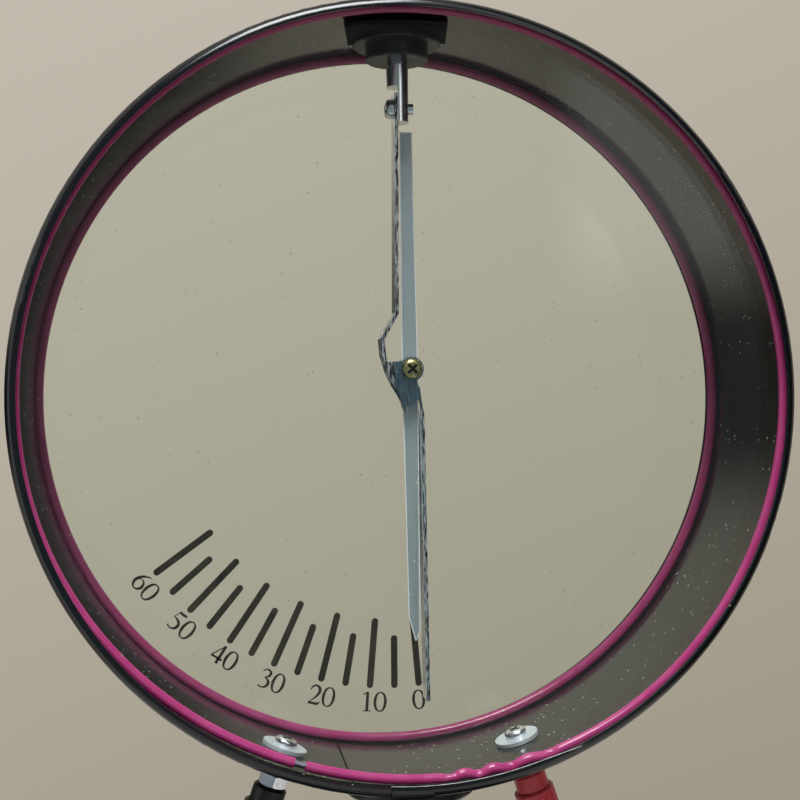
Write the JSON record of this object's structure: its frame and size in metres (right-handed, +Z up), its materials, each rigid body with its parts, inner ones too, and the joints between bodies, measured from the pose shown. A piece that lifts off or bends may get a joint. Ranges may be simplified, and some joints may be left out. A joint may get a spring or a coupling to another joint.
{
  "type": "pointer electroscope",
  "caption": "Round glazed drum on a column, with a ball and rod on top, a pivoted pointer inside before a printed scale, and two binding posts below.",
  "frame": {"origin": "centre of the base's underside, below the drum's middle", "axes": "+Z up, the glazed front faces -Y, +X to the right as seen from the front, the drum's axis along Y"},
  "size_m": [0.2, 0.14, 0.358],
  "materials": {
    "black_paint": "glossy black paint on sheet metal",
    "black_casting": "black paint on a casting",
    "grey_lining": "satin dark grey-olive",
    "glass": "clear sheet glass",
    "steel_wire": "bare spring wire",
    "magenta_sleeve": "soft glossy magenta tube",
    "black_plastic": "moulded black",
    "red_plastic": "moulded red",
    "plated_metal": "bright nickel or zinc plate",
    "strip_metal": "plated strip with fine scratches",
    "needle_metal": "blue-grey rolled sheet",
    "brass": "bare turned brass"
  },
  "bodies": {
    "case": {"drum_shell": "black_paint", "spacer_band": "grey_lining", "front_glass": "glass", "back_glass": "glass", "front_retaining_wire": "steel_wire", "front_wire_sleeve": "magenta_sleeve", "back_retaining_wire": "steel_wire", "back_wire_sleeve": "magenta_sleeve", "insulating_plug": "black_plastic", "outer_insulator": "black_plastic", "electrode_rod": "plated_metal", "top_ball": "plated_metal", "conductor_strip": "strip_metal", "strip_screw": "plated_metal", "front_pivot_screw": "brass", "back_pivot_screw": "brass", "left_post_screw": "plated_metal", "left_post_washer": "plated_metal", "left_shell_nut": "plated_metal", "left_lock_nut": "plated_metal", "left_post_collar": "black_plastic", "left_post_stud": "brass", "right_post_screw": "plated_metal", "right_post_washer": "plated_metal", "right_shell_nut": "plated_metal", "right_end_washer": "plated_metal", "right_post_collar": "red_plastic", "right_post_stud": "brass", "neck": "black_casting", "column": "black_paint", "base": "black_casting", "base_washer": "plated_metal", "base_nut": "plated_metal"},
    "pointer": {"needle": "needle_metal", "needle_hub": "brass", "needle_axle": "strip_metal"},
    "left_clamp": {"left_clamp_washer": "plated_metal"},
    "left_turning_knob": {"left_knob": "black_plastic", "left_knob_insert": "brass"},
    "right_clamp": {"right_clamp_washer": "plated_metal"},
    "right_turning_knob": {"right_knob": "red_plastic", "right_knob_insert": "brass"}
  },
  "joints": [
    {"name": "needle_swing", "type": "hinge", "parent": "case", "child": "pointer", "pos_m": [0.00205, 0, 0.2025], "axis": [0, 1, 0], "range_deg": [0, 90]},
    {"name": "left_clamp_travel", "type": "slide", "parent": "case", "child": "left_clamp", "axis": [-0.342, 0, -0.9397], "range_m": [0, 0.0035]},
    {"name": "left_knob_turn", "type": "hinge", "parent": "left_clamp", "child": "left_turning_knob", "pos_m": [-0.04173, 0, 0.08036], "axis": [-0.342, 0, -0.9397], "range_deg": [0, 1800]},
    {"name": "right_clamp_travel", "type": "slide", "parent": "case", "child": "right_clamp", "axis": [0.304, 0, -0.9527], "range_m": [0, 0.0035]},
    {"name": "right_knob_turn", "type": "hinge", "parent": "right_clamp", "child": "right_turning_knob", "pos_m": [0.03685, 0, 0.07954], "axis": [0.304, 0, -0.9527], "range_deg": [0, 1800]}
  ],
  "couplings": [
    {"joint": "left_knob_turn", "follows": "left_clamp_travel", "rad_per_m": 8975},
    {"joint": "right_knob_turn", "follows": "right_clamp_travel", "rad_per_m": 8975}
  ]
}
